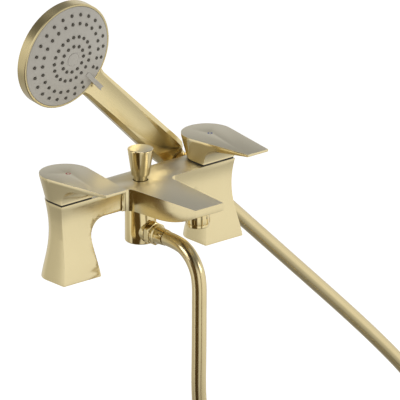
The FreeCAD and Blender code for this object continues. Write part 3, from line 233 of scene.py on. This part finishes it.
def finish_material(name, colour, shade, rough, scale, bump, metal=0.0, stretch=(1, 1, 1), top_light_colour=None):
    """One finish, between two colours and two roughnesses; if a top colour is given, upward faces get it as
    painted light and are made rougher.
    """
    grain_depth, ground_roughness = 0.00004, 0.42
    nearly_level, level = 0.80, 0.97
    made = bpy.data.materials.new(name)
    made.use_nodes = True
    nodes, links = made.node_tree.nodes, made.node_tree.links
    shader = nodes["Principled BSDF"]
    shader.inputs["Metallic"].default_value = metal
    spot = nodes.new("ShaderNodeTexCoord")
    turn = nodes.new("ShaderNodeMapping")
    turn.inputs["Scale"].default_value = stretch
    links.new(spot.outputs["Object"], turn.inputs["Vector"])
    group = nodes.new("ShaderNodeGroup")
    group.node_tree = grain
    links.new(turn.outputs["Vector"], group.inputs["Vector"])
    group.inputs["Colour"].default_value = (*colour, 1)
    group.inputs["Shade"].default_value = (*shade, 1)
    group.inputs["Grain"].default_value = scale
    group.inputs["Smoothest"].default_value = rough[0]
    group.inputs["Roughest"].default_value = rough[1]
    # Painted light: faces turned up get the paler top colour blended in, and a rougher finish.
    if top_light_colour:
        facing = nodes.new("ShaderNodeNewGeometry")
        upright = nodes.new("ShaderNodeSeparateXYZ")
        links.new(facing.outputs["True Normal"], upright.inputs["Vector"])
        flat = nodes.new("ShaderNodeMapRange")
        flat.inputs["From Min"].default_value = nearly_level
        flat.inputs["From Max"].default_value = level
        links.new(upright.outputs["Z"], flat.inputs["Value"])
        painted_top_mix = nodes.new("ShaderNodeMix")
        painted_top_mix.data_type = "RGBA"
        links.new(flat.outputs["Result"], painted_top_mix.inputs["Factor"])
        links.new(group.outputs["Colour"], painted_top_mix.inputs["A"])
        painted_top_mix.inputs["B"].default_value = (*top_light_colour, 1)
        links.new(painted_top_mix.outputs["Result"], shader.inputs["Base Color"])
        matt = nodes.new("ShaderNodeMix")
        links.new(flat.outputs["Result"], matt.inputs["Factor"])
        links.new(group.outputs["Roughness"], matt.inputs["A"])
        matt.inputs["B"].default_value = ground_roughness
        links.new(matt.outputs["Result"], shader.inputs["Roughness"])
    else:
        links.new(group.outputs["Colour"], shader.inputs["Base Color"])
        links.new(group.outputs["Roughness"], shader.inputs["Roughness"])
    raised = nodes.new("ShaderNodeBump")
    raised.inputs["Strength"].default_value = bump
    raised.inputs["Distance"].default_value = grain_depth
    links.new(group.outputs["Height"], raised.inputs["Height"])
    links.new(raised.outputs["Normal"], shader.inputs["Normal"])
    return made


hose_skin = finish_material("hose_skin", (0.83, 0.70, 0.41), (0.79, 0.65, 0.36), (0.20, 0.24),
                            scale=60, bump=0.01, metal=1.0)

# The route: out of the outlet and down, once and a quarter round the loop, along the bottom and back up.
hose_thick = 0.0146
loop_centre, loop_radius = Vector((0.150, -0.045, -0.2876)), 0.0762
loop_start, loop_step = 180, 30
route = [(0, -0.046, 0.0293), (0, -0.064, 0.0293), (0, -0.0779, 0.0238), (0, -0.0885, 0.0132),
         (0, -0.0942, -0.0007), (0, -0.094, -0.028), (0.001, -0.0925, -0.075), (0.004, -0.088, -0.125),
         (0.019, -0.078, -0.175), (0.046, -0.064, -0.222)]
for step in range(16):
    angle = math.radians(loop_start + loop_step * step)
    across = min(max((step - 3) / 9, 0), 1)
    route.append((loop_centre.x + loop_radius * math.cos(angle),
                  loop_centre.y + hose_thick * (across - 0.5),
                  loop_centre.z + loop_radius * math.sin(angle)))
route += [(0.215, -0.033, -0.3636), (0.290, -0.004, -0.3632), (0.3557, 0.026, -0.3626),
          (0.3962, 0.0345, -0.3353), (0.4145, 0.0362, -0.290)]
foot = Vector((0.10108, 0.036, 0.05109))
back_up = Vector((-0.71934, 0, 0.69466))
sideways = Vector((0.69466, 0, 0.71934))
straight_run, run_sag, last_stretch = 0.4218, 0.003, 0.060
route += [tuple(foot - back_up * straight_run + sideways * run_sag),
          tuple(foot - back_up * last_stretch), tuple(foot)]
line = bpy.data.curves.new("hose", "CURVE")
line.dimensions = "3D"
path = line.splines.new("NURBS")
path.points.add(len(route) - 1)
for point, spot in zip(path.points, route):
    point.co = (*spot, 1)
path.order_u = 3
path.use_endpoint_u = True
path.resolution_u = 12
centre_line = bpy.data.objects.new("hose_centre_line", line)
bpy.context.scene.collection.objects.link(centre_line)
bpy.context.view_layer.update()
followed = bpy.data.meshes.new_from_object(centre_line)
line.bevel_depth = hose_thick / 2
line.bevel_resolution = 12
line.use_fill_caps = True
bpy.context.view_layer.update()
hose = bpy.data.objects.new("hose", bpy.data.meshes.new_from_object(centre_line))
bpy.context.scene.collection.objects.link(hose)
bpy.data.objects.remove(centre_line)
bpy.ops.object.select_all(action="DESELECT")
hose.select_set(True)
bpy.context.view_layer.objects.active = hose
bpy.ops.object.mode_set(mode="EDIT")
bpy.ops.mesh.select_all(action="SELECT")
bpy.ops.mesh.remove_doubles(threshold=0.00001)
bpy.ops.mesh.normals_make_consistent(inside=False)
bpy.ops.object.mode_set(mode="OBJECT")
bpy.ops.object.shade_smooth_by_angle(angle=math.radians(40))
hose.data.materials.clear()
hose.data.materials.append(hose_skin)
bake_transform(hose)
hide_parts("hose_front", "hose_coil", "hose_rear")


# ---------------------------------------------------------------- Hose ferrule and tie
# A turned and polished brass ferrule is crimped on the outlet end of the hose. A black rubber strap
# holds the loops together.
edge_turn, shading_turn, flat_turn = math.radians(32), math.radians(28), math.radians(0.4)


def finished(node, material, width):
    """A copy of a machined piece with its sharp edges rounded over by a hair and its finish on it."""
    bpy.ops.object.select_all(action="DESELECT")
    piece = bpy.data.objects.new(node + "_finished", frame["nodes"][node].data.copy())
    bpy.context.scene.collection.objects.link(piece)
    bpy.context.view_layer.objects.active = piece
    piece.select_set(True)
    bpy.ops.object.mode_set(mode="EDIT")
    bpy.ops.mesh.select_all(action="SELECT")
    bpy.ops.mesh.remove_doubles(threshold=0.000002)
    bpy.ops.mesh.dissolve_limited(angle_limit=flat_turn)
    bpy.ops.mesh.select_all(action="DESELECT")
    bpy.ops.mesh.select_mode(type="EDGE")
    bpy.ops.mesh.edges_select_sharp(sharpness=edge_turn)
    bpy.ops.mesh.bevel(offset=width, segments=3, profile=0.5, clamp_overlap=True)
    bpy.ops.object.mode_set(mode="OBJECT")
    bpy.ops.object.shade_smooth_by_angle(angle=shading_turn)
    piece.data.materials.clear()
    piece.data.materials.append(material)
    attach(piece, next(body for body, nodes in frame["record"]["behaviour"]["bodies"].items()
                        if node in nodes))
    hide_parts(node)
    return piece


def dressed(node, material):
    """A piece whose modelled shape is already right gets its finish."""
    for slot in frame["nodes"][node].material_slots:
        slot.material = material


polished_brass = finish_material("polished_brass", (0.86, 0.72, 0.41), (0.80, 0.65, 0.34), (0.09, 0.14),
                                 scale=260, bump=0.03, metal=1.0)
black_rubber = finish_material("black_rubber", (0.018, 0.018, 0.018), (0.035, 0.034, 0.033), (0.55, 0.70),
                               scale=1800, bump=0.25)
outlet_ferrule = finished("outlet_ferrule", polished_brass, 0.0002)
hose_tie = finished("hose_tie", black_rubber, 0.0003)

# ---------------------------------------------------------------- Body casting
# One brass casting: two waisted pillars, the bridge and the flat spout. It is machined flat and rougher on
# top, brushed upright on its faces to a fine satin and given a warm brass finish. Its tops are painted
# paler as painted light.
# Painted light: the paler, greyer colour painted on upward brass faces for the light they catch from above.
painted_top_light = (0.86, 0.80, 0.63)
satin_brass = finish_material("satin_brass", (0.86, 0.74, 0.45), (0.82, 0.69, 0.40), (0.16, 0.22),
                              scale=900, bump=0.06, metal=1.0, stretch=(1, 1, 0.03), top_light_colour=painted_top_light)
finished("body_casting", satin_brass, 0.0010)

# ---------------------------------------------------------------- Inlets
# A flat black rubber seal lies under each pillar, squeezed against the bath. Above it a threaded brass
# bush is fixed in the pillar, and the supply tail screws up into it.
plain_brass = finish_material("plain_brass", (0.80, 0.60, 0.28), (0.72, 0.52, 0.22), (0.22, 0.34),
                              scale=700, bump=0.10, metal=1.0, stretch=(1, 1, 0.1))
for side in ("hot", "cold"):
    dressed(side + "_deck_seal", black_rubber)
    dressed(side + "_inlet_bush", plain_brass)

# ---------------------------------------------------------------- Cartridges
# Each pillar holds a quarter turn cartridge: a soft seat seal, two polished ceramic discs, a brass
# body with a gland nut that holds it down, and a splined spindle that turns the upper disc.
ceramic = finish_material("ceramic", (0.88, 0.87, 0.83), (0.80, 0.79, 0.75), (0.12, 0.20),
                          scale=400, bump=0.03)
for side in ("hot", "cold"):
    dressed(side + "_seat_seal", black_rubber)
    dressed(side + "_fixed_disc", ceramic)
    dressed(side + "_moving_disc", ceramic)
    for piece in ("_cartridge_body", "_gland_nut", "_spindle"):
        dressed(side + piece, plain_brass)

# ---------------------------------------------------------------- Glide plates
# A thin black plate lies on top of each pillar, round the spindle,
# under the edge of each lever.
black_plastic = finish_material("black_plastic", (0.010, 0.010, 0.010), (0.020, 0.019, 0.018), (0.40, 0.55),
                                scale=1500, bump=0.15)
for side in ("hot", "cold"):
    dressed(side + "_glide_plate", black_plastic)

# ---------------------------------------------------------------- Levers
# Each lever is a cast brass blade with a dished top, a round back and a flat tip. A small steel
# screw at the back holds it on the spindle.
# The lever tops are painted the same paler colour, as painted light from above.
lever_brass = finish_material("lever_brass", (0.86, 0.74, 0.46), (0.81, 0.69, 0.41), (0.16, 0.23),
                              scale=1100, bump=0.06, metal=1.0, stretch=(1, 0.03, 1), top_light_colour=painted_top_light)
steel = finish_material("steel", (0.62, 0.62, 0.61), (0.52, 0.52, 0.51), (0.18, 0.28),
                        scale=900, bump=0.08, metal=1.0)
for side in ("hot", "cold"):
    finished(side + "_lever", lever_brass, 0.0006)
    dressed(side + "_grub_screw", steel)

# ---------------------------------------------------------------- Temperature rings
# A small moulded ring is pressed into the top of each lever, red over the hot side and blue over
# the cold side.
red_plastic = finish_material("red_plastic", (0.62, 0.03, 0.012), (0.48, 0.02, 0.010), (0.22, 0.30),
                              scale=900, bump=0.05)
blue_plastic = finish_material("blue_plastic", (0.03, 0.10, 0.42), (0.02, 0.07, 0.32), (0.22, 0.30),
                               scale=900, bump=0.05)
dressed("hot_index", red_plastic)
dressed("cold_index", blue_plastic)

# ---------------------------------------------------------------- Diverter
# A turned brass housing hangs under the bridge. Inside it a washer on a brass stem moves between two
# seats, pushed down by a spring. The stem runs up through a bush to the knob.
# Wherever this finish is used, its flat upward faces are painted the same paler colour, as painted light
# from above.
turned_brass = finish_material("turned_brass", (0.86, 0.72, 0.41), (0.80, 0.65, 0.34), (0.10, 0.15),
                               scale=900, bump=0.04, metal=1.0, stretch=(1, 1, 0.05), top_light_colour=painted_top_light)
finished("diverter_housing", turned_brass, 0.0004)
for piece in ("diverter_seat", "diverter_bush", "diverter_spindle"):
    dressed(piece, plain_brass)
dressed("diverter_spring", steel)
dressed("diverter_washer", black_rubber)

# ---------------------------------------------------------------- Diverter knob
# A turned and polished brass knob, wider at its flat top, sits on top of the diverter's stem. It is
# pulled up to send water to the handset.
finished("diverter_knob", turned_brass, 0.0005)

# ---------------------------------------------------------------- Hose outlet
# The hose screws with a polished hexagon nut onto a brass tail in the diverter housing. A rubber
# washer between the two seals the joint.
dressed("outlet_tail", plain_brass)
dressed("outlet_washer", black_rubber)
finished("outlet_nut", polished_brass, 0.0003)

# ---------------------------------------------------------------- Aerator
# A brass ring screws up under the spout tip and holds a plastic flow straightener. Twelve upright
# notches are milled round it for a key.
inner_plastic = finish_material("inner_plastic", (0.72, 0.72, 0.69), (0.62, 0.62, 0.60), (0.35, 0.50),
                                scale=1200, bump=0.10)
aerator = finished("aerator_housing", polished_brass, 0.0003)
low, high = (Vector(corner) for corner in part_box("aerator_housing"))
centre = (low + high) / 2
notch_count, notch_offset, notch_reach = 12, 8, 0.0119
notch_size = (0.0016, 0.0021, 0.0052)
cutters = []
for step in range(notch_count):
    angle = math.radians(360 / notch_count * step + notch_offset)
    outward = Vector((math.cos(angle), math.sin(angle), 0))
    bpy.ops.object.select_all(action="DESELECT")
    bpy.ops.mesh.primitive_cube_add(size=1, location=centre + outward * notch_reach)
    notch = bpy.context.object
    notch.scale = notch_size
    notch.rotation_euler = (0, 0, angle)
    cutters.append(notch)
bpy.ops.object.select_all(action="DESELECT")
for notch in cutters:
    notch.select_set(True)
bpy.context.view_layer.objects.active = cutters[0]
bpy.ops.object.join()
gaps = bpy.context.object
bpy.ops.object.transform_apply(location=True, rotation=True, scale=True)
bpy.ops.object.select_all(action="DESELECT")
aerator.select_set(True)
bpy.context.view_layer.objects.active = aerator
slots = aerator.modifiers.new("notches", "BOOLEAN")
slots.operation = "DIFFERENCE"
slots.solver = "EXACT"
slots.object = gaps
bpy.ops.object.modifier_apply(modifier="notches")
bpy.data.objects.remove(gaps)
bpy.ops.object.shade_smooth_by_angle(angle=shading_turn)
dressed("aerator_seal", black_rubber)
dressed("flow_straightener", inner_plastic)

# ---------------------------------------------------------------- Cradle
# A slotted brass cone behind the cold pillar takes the nut at the foot of the handset. It is turned and
# cut, and one steel screw through its foot holds it to the casting.
finished("handset_cradle", turned_brass, 0.0004)
dressed("cradle_screw", steel)

# ---------------------------------------------------------------- Handset
# A hollow metal handset with a channelled flat handle and a shallow dish for a head, in the same satin
# brass. A nut and ferrule join it to the hose through a brass spigot and a washer.
handset_brass = finish_material("handset_brass", (0.86, 0.73, 0.42), (0.81, 0.67, 0.37), (0.17, 0.24),
                                scale=500, bump=0.05, metal=1.0)
dressed("handset_body", handset_brass)
finished("handset_nut", polished_brass, 0.0003)
finished("handset_ferrule", polished_brass, 0.0002)
dressed("handset_spigot", plain_brass)
dressed("handset_washer", black_rubber)

# ---------------------------------------------------------------- Spray face
# A plastic water chamber, held by one screw, sits behind a grey moulded face that turns by its tab.
# Dark rubber nozzles come through the face in rings, and a round cap covers the screw.
face_plastic = finish_material("face_plastic", (0.475, 0.45, 0.395), (0.425, 0.40, 0.35), (0.34, 0.46),
                               scale=900, bump=0.10)
nozzle_rubber = finish_material("nozzle_rubber", (0.050, 0.043, 0.030), (0.085, 0.075, 0.055), (0.45, 0.60),
                                scale=1800, bump=0.2)
dressed("spray_chamber", inner_plastic)
dressed("face_screw", steel)
finished("spray_plate", face_plastic, 0.0004)
dressed("spray_nozzles", nozzle_rubber)
finished("centre_cap", face_plastic, 0.0003)
